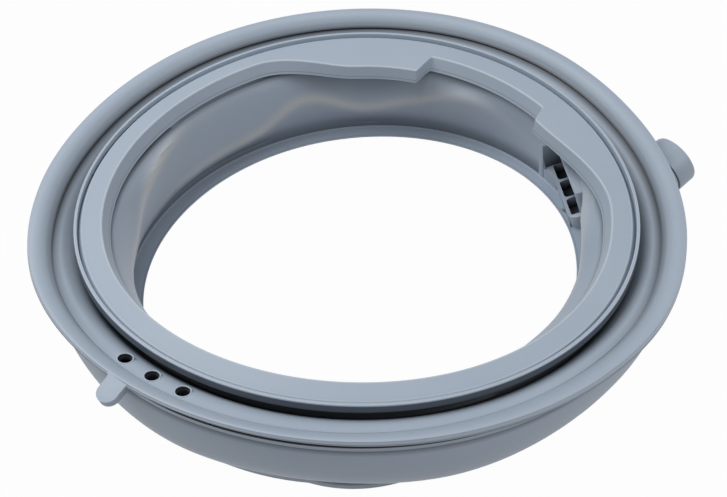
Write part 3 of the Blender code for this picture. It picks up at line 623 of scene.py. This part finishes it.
# The corners keep their painted highlight and shade marks and their painted crest highlight
for name, values in (("line", marks[:, 0]), ("bloom", marks[:, 1])):
    seal.data.attributes.new(name, 'FLOAT', 'POINT').data.foreach_set("value", values)
bpy.ops.object.mode_set(mode='EDIT')
bpy.ops.mesh.select_all(action='SELECT')
bpy.ops.mesh.normals_make_consistent(inside=False)
bpy.ops.object.mode_set(mode='OBJECT')

# Three drain holes through the channel where the seal hangs lowest. They are moulded in,
# each with a thin raised rim and a narrower throat below. Their rims carry a painted highlight, their insides
# painted shade.
HOLE_DIAMETER = 0.0077
HOLE_THROAT = 0.0066
HOLE_STEP = 0.0014
HOLE_RIM = 0.00045
HOLE_RADIUS = 0.1774
HOLE_AZIMUTH = -89.7
HOLE_PITCH = 6.6
HOLE_COUNT = 3
HOLE_SURROUND = 0.0060
HOLE_MARGIN = 0.0002
SAME_CORNER = 0.00002


def paint_light_marks(is_there, line):
    """Gives every corner of the seal that passes a test a painted highlight above 0 and painted shade below 0."""
    layer = seal.data.attributes["line"].data
    for vertex in seal.data.vertices:
        if is_there(vertex.co):
            layer[vertex.index].value = line


def press(tool, operation, line=0.0):
    """Joins a shape to the moulded seal or cuts it out, and paints its corners with a highlight or with shade."""
    own = KDTree(len(tool.data.vertices))
    for vertex in tool.data.vertices:
        own.insert(vertex.co, vertex.index)
    own.balance()
    bpy.ops.object.select_all(action='DESELECT')
    bpy.context.view_layer.objects.active = seal
    modifier = seal.modifiers.new("mould", 'BOOLEAN')
    modifier.operation = operation
    modifier.solver = 'MANIFOLD'
    modifier.object = tool
    bpy.ops.object.modifier_apply(modifier="mould")
    corners = [Vector(corner) for corner in tool.bound_box]
    middle = sum(corners, Vector()) / 8.0
    reach = max((corner - middle).length for corner in corners) + 0.0001
    bpy.data.objects.remove(tool)
    paint_light_marks(lambda spot: (spot - middle).length < reach and own.find(spot)[2] < SAME_CORNER, line)


def at(place, right, forward, up):
    """A matrix that puts a shape at a place, with its three axes along three directions."""
    return Matrix.Translation(place) @ Matrix((right, forward, up)).transposed().to_4x4()


def point_at(azimuth, radius, height):
    """Where one point of the section lies on the seal."""
    return Vector(placed(azimuth, np.array(((radius, height),)))[0])


for index in range(HOLE_COUNT):
    azimuth = HOLE_AZIMUTH + (index - 0.5 * (HOLE_COUNT - 1)) * HOLE_PITCH
    low, high = channel_knots(azimuth)[-2:]
    height = low[1] + (HOLE_RADIUS - low[0]) / (high[0] - low[0]) * (high[1] - low[1])
    middle = point_at(azimuth, HOLE_RADIUS, height)
    along = (point_at(azimuth, *high) - point_at(azimuth, *low)).normalized()
    axis = along.cross(point_at(azimuth + 1.0, HOLE_RADIUS, height) - middle).normalized()
    hole = at(middle, along, axis.cross(along), axis)
    radius = 0.5 * HOLE_DIAMETER
    bpy.ops.object.select_all(action='DESELECT')
    bpy.ops.mesh.primitive_torus_add(major_radius=radius + HOLE_RIM, minor_radius=HOLE_RIM,
                                     major_segments=40, minor_segments=8)
    rim = bpy.context.object
    rim.data.transform(hole)
    # Painted highlight on the hole's raised rim
    press(rim, 'UNION', 0.6)
    throat = 0.5 * HOLE_THROAT
    bore = spun("drain", [
        (0.0, -3.0 * SHEET), (throat, -3.0 * SHEET), (throat, -HOLE_STEP), (radius, -HOLE_STEP),
        (radius, -0.4 * HOLE_STEP), (radius, 2.0 * SHEET), (0.0, 2.0 * SHEET),
    ], 40)
    bore.data.transform(hole)
    # Painted shade on the hole's cut faces
    press(bore, 'DIFFERENCE', -1.0)
    inwards = hole.inverted()

    def in_hole(spot):
        """Whether a corner lies in this hole."""
        near = inwards @ spot
        return (spot - middle).length < HOLE_SURROUND and near.z < HOLE_MARGIN \
            and math.hypot(near.x, near.y) < radius + HOLE_MARGIN

    # Painted shade inside the hole
    paint_light_marks(in_hole, -1.0)

# The pull tab on the lip's edge, by which the seal is drawn off the panel: a flat tongue
# with a round end and filleted neck, moulded with the lip.
TAB_AZIMUTH = -91.8
TAB_TURN = 4.0
TAB_DROOP = 16.0
TAB_LENGTH = 0.0152
TAB_WIDTH = 0.0124
TAB_THICKNESS = 0.0046
TAB_FILLET = 0.0028
TAB_OVERLAP = 0.0014
TAB_RISE = 0.0011
TAB_ROUNDING = 0.0007


def slab(name, outline, depth, rounding):
    """A flat moulded block: its outline drawn, filled, raised, and its edges rounded."""
    bpy.ops.object.select_all(action='DESELECT')
    bpy.ops.mesh.primitive_circle_add(vertices=len(outline), radius=0.01, fill_type='NGON')
    block = bpy.context.object
    block.name = name
    for vertex, (across, along) in zip(block.data.vertices, outline):
        vertex.co = (across, along, 0.0)
    bpy.ops.object.mode_set(mode='EDIT')
    bpy.ops.mesh.select_all(action='SELECT')
    bpy.ops.mesh.extrude_region_move(TRANSFORM_OT_translate={"value": (0.0, 0.0, depth)})
    bpy.ops.mesh.select_all(action='SELECT')
    bpy.ops.mesh.normals_make_consistent(inside=False)
    bpy.ops.object.mode_set(mode='OBJECT')
    if rounding:
        bevel = block.modifiers.new("rounding", 'BEVEL')
        bevel.width = rounding
        bevel.segments = 3
        bevel.limit_method = 'ANGLE'
        bevel.angle_limit = math.radians(40.0)
        bpy.ops.object.modifier_apply(modifier="rounding")
    return block


def tab_outline():
    """The tab seen from above: root, neck fillets, straight sides and a round end."""
    half = 0.5 * TAB_WIDTH
    side = [(0.0, half + TAB_FILLET)]
    for step in range(1, 7):
        turn = math.radians(15.0 * step)
        side.append((TAB_FILLET * (1.0 - math.cos(turn)), half + TAB_FILLET * (1.0 - math.sin(turn))))
    centre = TAB_LENGTH - half
    tip = []
    for step in range(1, 24):
        turn = math.radians(90.0 - 180.0 * step / 24)
        tip.append((centre + half * math.cos(turn), half * math.sin(turn)))
    side.append((centre, half))
    return side + tip + [(across, -along) for across, along in reversed(side)]


axis = math.radians(LEAN_AZIMUTH + 90.0)
front_turn = Matrix.Rotation(math.radians(LEAN), 3, Vector((math.cos(axis), math.sin(axis), 0.0)))
turn, drop = math.radians(TAB_AZIMUTH + TAB_TURN), math.radians(TAB_DROOP)
out = front_turn @ Vector((math.cos(turn) * math.cos(drop), math.sin(turn) * math.cos(drop), -math.sin(drop)))
side = (front_turn @ Vector((0.0, 0.0, 1.0))).cross(out).normalized()
root = point_at(TAB_AZIMUTH, LIP_RADIUS - TAB_OVERLAP, FRONT_HEIGHT - LIP_UNDERSIDE + LIP_EDGE + TAB_RISE)
tab = slab("tab", tab_outline(), TAB_THICKNESS, TAB_ROUNDING)
tab.data.transform(at(root - out.cross(side) * TAB_THICKNESS, out, side, out.cross(side)))
press(tab, 'UNION')

# The inlet: a round spigot on the outside, where a hose from the detergent drawer is pushed
# on, and a duct behind the bellows that leads the water to the port inside.
SPIGOT_END = Vector((0.1311, 0.1765, 0.0307))
SPIGOT_HEADING = 73.0
SPIGOT_RISE = 15.0
SPIGOT_DIAMETER = 0.0318
SPIGOT_COLLAR_DIAMETER = 0.0334
SPIGOT_COLLAR_LENGTH = 0.0143
SPIGOT_LENGTH = 0.0390
SPIGOT_BORE = 0.0240
SPIGOT_OVERLAP = 0.0040
DUCT_DIAMETER = 0.0260
DUCT_BORE = 0.0180
DUCT_START = 0.62
PORT_AZIMUTH = 58.2
PORT_RADIUS = 0.1435
PORT_HEIGHT = 0.0189
PORT_HEADING = 44.0
PORT_RISE = 12.8
PORT_LENGTH = 0.0584
PORT_WIDTH = 0.0220
PORT_CORNER = 0.0055
PORT_WALL = 0.0022
PORT_DEPTH = 0.0120
PORT_FLOOR = 0.0030
PORT_HOOD = 0.0185
PORT_OPENING = 0.0165
PORT_SILL = -0.0006
PORT_CELL_TOP = 0.0030
PORT_FRONT = 0.0120
PORT_LIP = 0.0030
PORT_LINING = 0.0004
PORT_BLACK = 0.0110
PORT_SHELF_TOP = -0.0003
# Fillings between the port and the wall at its far end: outlines as (over, along)
PORT_SHELF = ((-0.0041, 0.0258), (-0.0015, 0.0185), (0.0012, 0.0110),
              (0.0070, 0.0110), (0.0070, 0.0300), (-0.0058, 0.0300))
PORT_CHEEK = ((-0.0046, 0.0256), (-0.0062, 0.0300), (0.0210, 0.0300), (0.0210, 0.0256))
PORT_RIBS = 2
PORT_RIB_WIDTH = 0.0020
HOOD_START = 0.34
HOOD_SETBACK = 0.0010
HOOD_LENGTH = 0.96


def heading_to(heading, rise):
    """A unit direction from its heading and its rise above level, in degrees."""
    turn, lift = math.radians(heading), math.radians(rise)
    return Vector((math.cos(turn) * math.cos(lift), math.sin(turn) * math.cos(lift), math.sin(lift)))


def facing(place, axis):
    """A matrix that stands a spun shape at a place, along an axis."""
    right = axis.orthogonal().normalized()
    return at(place, right, axis.cross(right), axis)


spigot_axis = heading_to(SPIGOT_HEADING, SPIGOT_RISE)
elbow = SPIGOT_END - spigot_axis * SPIGOT_LENGTH
neck, collar_radius = 0.5 * SPIGOT_DIAMETER, 0.5 * SPIGOT_COLLAR_DIAMETER
step_at = SPIGOT_LENGTH - SPIGOT_COLLAR_LENGTH
spigot = spun("spigot", [
    (0.0, -SPIGOT_OVERLAP), (neck, -SPIGOT_OVERLAP), (neck, step_at - 0.0009), (neck - 0.0003, step_at - 0.0001),
    (collar_radius - 0.0003, step_at), (collar_radius, step_at + 0.0004), (collar_radius, SPIGOT_LENGTH - 0.0018),
    (collar_radius - 0.0005, SPIGOT_LENGTH - 0.0006), (collar_radius - 0.0016, SPIGOT_LENGTH), (0.0, SPIGOT_LENGTH),
], 72)
spigot.data.transform(facing(elbow, spigot_axis))
press(spigot, 'UNION')


def on_step(spot):
    """Whether a corner lies in the step between the spigot's neck and its collar."""
    away = spot - elbow
    up_spigot = away.dot(spigot_axis)
    off_neck = abs((away - spigot_axis * up_spigot).length - neck + 0.0002)
    return abs(up_spigot - step_at) < 0.0003 and off_neck < 0.0004


# Painted shade in the step between the spigot's neck and its collar
paint_light_marks(on_step, -0.9)

port_turn = math.radians(PORT_AZIMUTH)
port_edge = Vector((PORT_RADIUS * math.cos(port_turn), PORT_RADIUS * math.sin(port_turn), PORT_HEIGHT))
over = heading_to(PORT_HEADING, PORT_RISE)
along = Vector((0.0, 0.0, 1.0)).cross(over).normalized()
port = at(port_edge, over, along, over.cross(along))
duct_start = port_edge + over * DUCT_START * PORT_WIDTH
duct_axis = (elbow - duct_start).normalized()
duct_length = (elbow - duct_start).length
duct = spun("duct", [(0.0, 0.0), (0.5 * DUCT_DIAMETER, 0.0), (0.5 * DUCT_DIAMETER, duct_length),
                     (0.0, duct_length)], 56)
duct.data.transform(facing(duct_start, duct_axis))
press(duct, 'UNION')


def rounded_box(name, start, reach, low, high, length, corner, rounding, shift=0.0):
    """A block on the port with round corners: its span over the rim, in height and along."""
    outline = []
    for quarter, (u, v) in enumerate(((1, 1), (-1, 1), (-1, -1), (1, -1))):
        for step in range(7):
            turn = math.radians(90.0 * (quarter + step / 6.0))
            outline.append((start + 0.5 * reach + u * (0.5 * reach - corner) + corner * math.cos(turn),
                            shift + v * (0.5 * length - corner) + corner * math.sin(turn)))
    block = slab(name, outline, high - low, rounding)
    block.data.transform(port @ Matrix.Translation((0.0, 0.0, low)))
    return block


# The ribbed port inside the wall: a trough under a hood, where the water comes out. The trough carries a
# painted highlight and the port's depths painted shade. Two ribs keep the laundry out of the duct.
press(rounded_box("trough", 0.0, PORT_WIDTH, -PORT_DEPTH, 0.0, PORT_LENGTH, PORT_CORNER, 0.0006), 'UNION', 0.8)
back = HOOD_START * PORT_WIDTH
hood = rounded_box("hood", back, PORT_WIDTH - back - HOOD_SETBACK, HOOD_SETBACK - PORT_DEPTH, PORT_HOOD,
                   HOOD_LENGTH * PORT_LENGTH, 0.5 * PORT_CORNER, 0.0012)
press(hood, 'UNION')
upright = at(port_edge, heading_to(PORT_HEADING, 0.0), along, Vector((0.0, 0.0, 1.0)))
for name, outline, high in (("shelf", PORT_SHELF, PORT_SHELF_TOP), ("cheek", PORT_CHEEK, PORT_HOOD - HOOD_SETBACK)):
    block = slab(name, outline, high + PORT_DEPTH, 0.0)
    block.data.transform(upright @ Matrix.Translation((0.0, 0.0, -PORT_DEPTH)))
    press(block, 'UNION')
bore = 0.5 * SPIGOT_BORE
spigot_bore = spun("spigot bore", [
    (0.0, 0.0), (bore, 0.0), (bore, SPIGOT_LENGTH - 0.0060), (bore, SPIGOT_LENGTH - 0.0010),
    (bore + 0.0008, SPIGOT_LENGTH - 0.0001), (bore + 0.0008, SPIGOT_LENGTH + 0.0020), (0.0, SPIGOT_LENGTH + 0.0020),
], 72)
spigot_bore.data.transform(facing(elbow, spigot_axis))
# Painted shade inside the spigot's bore
press(spigot_bore, 'DIFFERENCE', -0.5)
duct_bore = spun("duct bore", [(0.0, 0.0), (0.5 * DUCT_BORE, 0.0), (0.5 * DUCT_BORE, duct_length + 0.0015),
                               (0.0, duct_length + 0.0015)], 56)
duct_bore.data.transform(facing(duct_start, duct_axis))
# Painted shade inside the duct's bore
press(duct_bore, 'DIFFERENCE', -0.9)
whole_length = HOOD_LENGTH * PORT_LENGTH - 2.0 * PORT_WALL
cell_length = (whole_length - PORT_RIBS * PORT_RIB_WIDTH) / (PORT_RIBS + 1)
# The cells and the window are cut with painted shade on their cut faces
for index in range(PORT_RIBS + 1):
    shift = (index - 0.5 * PORT_RIBS) * (cell_length + PORT_RIB_WIDTH)
    cell = rounded_box("cell", PORT_WALL, PORT_WIDTH - 2.0 * PORT_WALL, PORT_FLOOR - PORT_DEPTH, PORT_CELL_TOP,
                       cell_length, PORT_WALL, 0.0, shift)
    press(cell, 'DIFFERENCE', -1.0)
mouth = rounded_box("mouth", -PORT_FRONT, PORT_FRONT, PORT_SILL, PORT_OPENING - PORT_LINING,
                    whole_length - 2.0 * PORT_LINING, PORT_LINING, 0.0)
press(mouth, 'DIFFERENCE')
window = rounded_box("window", -PORT_LIP, PORT_WIDTH - PORT_WALL + PORT_LIP, PORT_SILL, PORT_OPENING,
                     whole_length, 0.5 * PORT_WALL, 0.0)
press(window, 'DIFFERENCE', -0.95)
into_port = port.inverted()


def in_port(spot):
    """Whether a corner lies inside the port, behind its rim."""
    near = into_port @ spot
    inside = abs(near.y) < 0.5 * whole_length + PORT_LINING and -PORT_DEPTH < near.z < PORT_OPENING + 0.0006
    deep = near.x > PORT_BLACK or near.z < 3.0 * PORT_SILL
    return (spot - port_edge).length < PORT_LENGTH and inside and 0.0 < near.x < PORT_WIDTH and deep


# Painted shade deep inside the port
paint_light_marks(in_port, -1.0)

bpy.ops.object.select_all(action='DESELECT')
seal.select_set(True)
bpy.context.view_layer.objects.active = seal
bpy.ops.object.shade_smooth_by_angle(angle=math.radians(32.0))

# The rubber: a satin blue-grey compound, a little mottled, with a fine matt grain. Painted highlights
# lie along the moulding's thin edges and its crests, and painted shade in its creases and openings.
RUBBER = (0.335, 0.400, 0.485, 1.0)
RUBBER_PALE = (0.375, 0.435, 0.510, 1.0)
# Colours of the painted highlights along edges and crests, and of the painted shade in creases and openings
EDGE_HIGHLIGHT_COLOUR = (0.50, 0.56, 0.63, 1.0)
CREST_HIGHLIGHT_COLOUR = (0.60, 0.60, 0.585, 1.0)
SPECKLE_PALE = (0.44, 0.50, 0.57, 1.0)
PAINTED_SHADE_COLOUR = (0.018, 0.022, 0.030, 1.0)
ROUGHNESS = 0.46


class Wire:
    """A shader socket that can be added, taken away and multiplied in plain expressions."""

    def __init__(self, tree, socket=None):
        self.tree = tree
        self.socket = socket

    def node(self, kind, settings=None, sockets=None, output=0):
        """Adds a node: its settings first, then the values or links of its sockets."""
        made = self.tree.nodes.new("ShaderNode" + kind)
        for name, value in (settings or {}).items():
            if name == "stops":
                stops = made.color_ramp.elements
                stops[0].position, stops[1].position = value[0][0], value[-1][0]
                for stop, _ in value[1:-1]:
                    stops.new(stop)
                for element, (_, grey) in zip(stops, value):
                    element.color = (grey, grey, grey, 1.0)
            else:
                setattr(made, name, value)
        for name, value in (sockets or {}).items():
            if isinstance(value, Wire):
                self.tree.links.new(value.socket, made.inputs[name])
            else:
                made.inputs[name].default_value = value
        return Wire(self.tree, made.outputs[output])

    def maths(self, operation, first, second):
        return self.node("Math", {"operation": operation}, {0: first, 1: second})

    def __add__(self, other):
        return self.maths('ADD', self, other)

    def __sub__(self, other):
        return self.maths('SUBTRACT', self, other)

    def __rsub__(self, other):
        return self.maths('SUBTRACT', other, self)

    def __mul__(self, other):
        return self.maths('MULTIPLY', self, other)

    __radd__ = __add__
    __rmul__ = __mul__

    def above(self, other):
        return self.maths('MAXIMUM', self, other)


rubber = bpy.data.materials.new("satin rubber")
rubber.use_nodes = True
shader = rubber.node_tree.nodes["Principled BSDF"]
wire = Wire(rubber.node_tree)


def mixed(factor, first, second, blend='MIX'):
    """One colour over another."""
    return wire.node("Mix", {"data_type": 'RGBA', "blend_type": blend}, {0: factor, 6: first, 7: second}, 2)


def grain(scale, detail, roughness=0.5):
    """Noise on the piece's own coordinates, from 0 to 1."""
    return wire.node("TexNoise", {}, {"Vector": place, "Scale": scale, "Detail": detail, "Roughness": roughness})


place = wire.node("TexCoord", output=3)
# line holds painted highlights above 0 and painted shade below 0; the crest attribute holds a painted highlight
line = wire.node("Attribute", {"attribute_name": "line"}, output=2)
bloom = wire.node("Attribute", {"attribute_name": "bloom"}, output=2)
mottle = grain(14.0, 3.0)
speckle = grain(900.0, 2.0)
cloud = wire.node("ValToRGB", {"stops": ((0.32, 0.0), (0.68, 1.0))}, {0: mottle})
base = mixed(cloud * 0.5, RUBBER, RUBBER_PALE)
base = mixed((speckle - 0.5) * 0.30 + 0.06, base, SPECKLE_PALE)
# Painted highlight along the inner wall's crests
base = mixed(bloom.above(0.0) * (0.55 + 0.35 * mottle), base, CREST_HIGHLIGHT_COLOUR)
# Painted highlight along the moulding's thin edges
base = mixed(line.above(0.0) * 0.75, base, EDGE_HIGHLIGHT_COLOUR)
# Painted shade in creases, holes, bores and the port's depths
base = mixed((line * -1.0).above(0.0) * 0.97, base, PAINTED_SHADE_COLOUR)
rubber.node_tree.links.new(base.socket, shader.inputs["Base Color"])
rough = ROUGHNESS + (mottle - 0.5) * 0.10 + (speckle - 0.5) * 0.08
rubber.node_tree.links.new(rough.socket, shader.inputs["Roughness"])
fine = grain(2600.0, 2.0)
swell = grain(38.0, 2.0)
height = fine * 0.00002 + swell * 0.0006
bumps = wire.node("Bump", {}, {"Strength": 0.35, "Distance": 1.0, "Height": height})
rubber.node_tree.links.new(bumps.socket, shader.inputs["Normal"])
shader.inputs["Specular IOR Level"].default_value = 0.42
seal.data.materials.clear()
seal.data.materials.append(rubber)
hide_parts("door_seal")
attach(seal, "root")

# The white table, the room and the soft lamps. The camera and the reflections see the table
# as plain white. Other light meets grey paint, so that little of it comes back from below.
TABLE_GREY = (0.34, 0.34, 0.35, 1.0)
TABLE_GLOW = 0.975
ROOM_LIGHT = 0.42

bpy.ops.mesh.primitive_plane_add(size=40.0, location=(0.0, 0.0, -0.0002))
table = bpy.context.object
table.name = "table"
white = bpy.data.materials.new("white table")
white.use_nodes = True
nodes, links = white.node_tree.nodes, white.node_tree.links
paint = nodes["Principled BSDF"]
paint.inputs["Base Color"].default_value = TABLE_GREY
paint.inputs["Roughness"].default_value = 0.9
glow = nodes.new("ShaderNodeEmission")
glow.inputs["Strength"].default_value = 1.0
blend = nodes.new("ShaderNodeMixShader")
path = nodes.new("ShaderNodeLightPath")
seen = path.outputs["Is Camera Ray"]
for ray in ("Is Glossy Ray", "Is Transmission Ray"):
    either = nodes.new("ShaderNodeMath")
    either.operation = 'MAXIMUM'
    links.new(seen, either.inputs[0])
    links.new(path.outputs[ray], either.inputs[1])
    seen = either.outputs[0]
share = nodes.new("ShaderNodeMath")
share.operation = 'MULTIPLY'
share.inputs[1].default_value = TABLE_GLOW
links.new(seen, share.inputs[0])
links.new(share.outputs[0], blend.inputs[0])
links.new(paint.outputs[0], blend.inputs[1])
links.new(glow.outputs[0], blend.inputs[2])
links.new(blend.outputs[0], nodes["Material Output"].inputs["Surface"])
table.data.materials.append(white)

world = bpy.data.worlds.new("room")
bpy.context.scene.world = world
world.use_nodes = True
world.node_tree.nodes["Background"].inputs["Color"].default_value = (1.0, 1.0, 1.0, 1.0)
world.node_tree.nodes["Background"].inputs["Strength"].default_value = ROOM_LIGHT


def soft_lamp(name, place, target, width, height, power):
    """A soft square lamp that looks at a point."""
    bpy.ops.object.light_add(type='AREA', location=place)
    lamp = bpy.context.object
    lamp.name = name
    lamp.data.shape = 'RECTANGLE'
    lamp.data.size = width
    lamp.data.size_y = height
    lamp.data.energy = power
    lamp.rotation_euler = (Vector(target) - Vector(place)).to_track_quat('-Z', 'Y').to_euler()
    return lamp


soft_lamp("main", (-0.50, -0.10, 1.05), (0.0, 0.0, 0.05), 0.9, 0.9, 8.0)
soft_lamp("side", (1.05, 0.35, 0.80), (0.0, 0.0, 0.05), 0.7, 0.5, 4.0)
soft_lamp("front", (0.1, -1.3, 0.55), (0.0, -0.15, 0.05), 0.5, 0.25, 1.2)

bpy.context.scene.view_settings.view_transform = 'Standard'
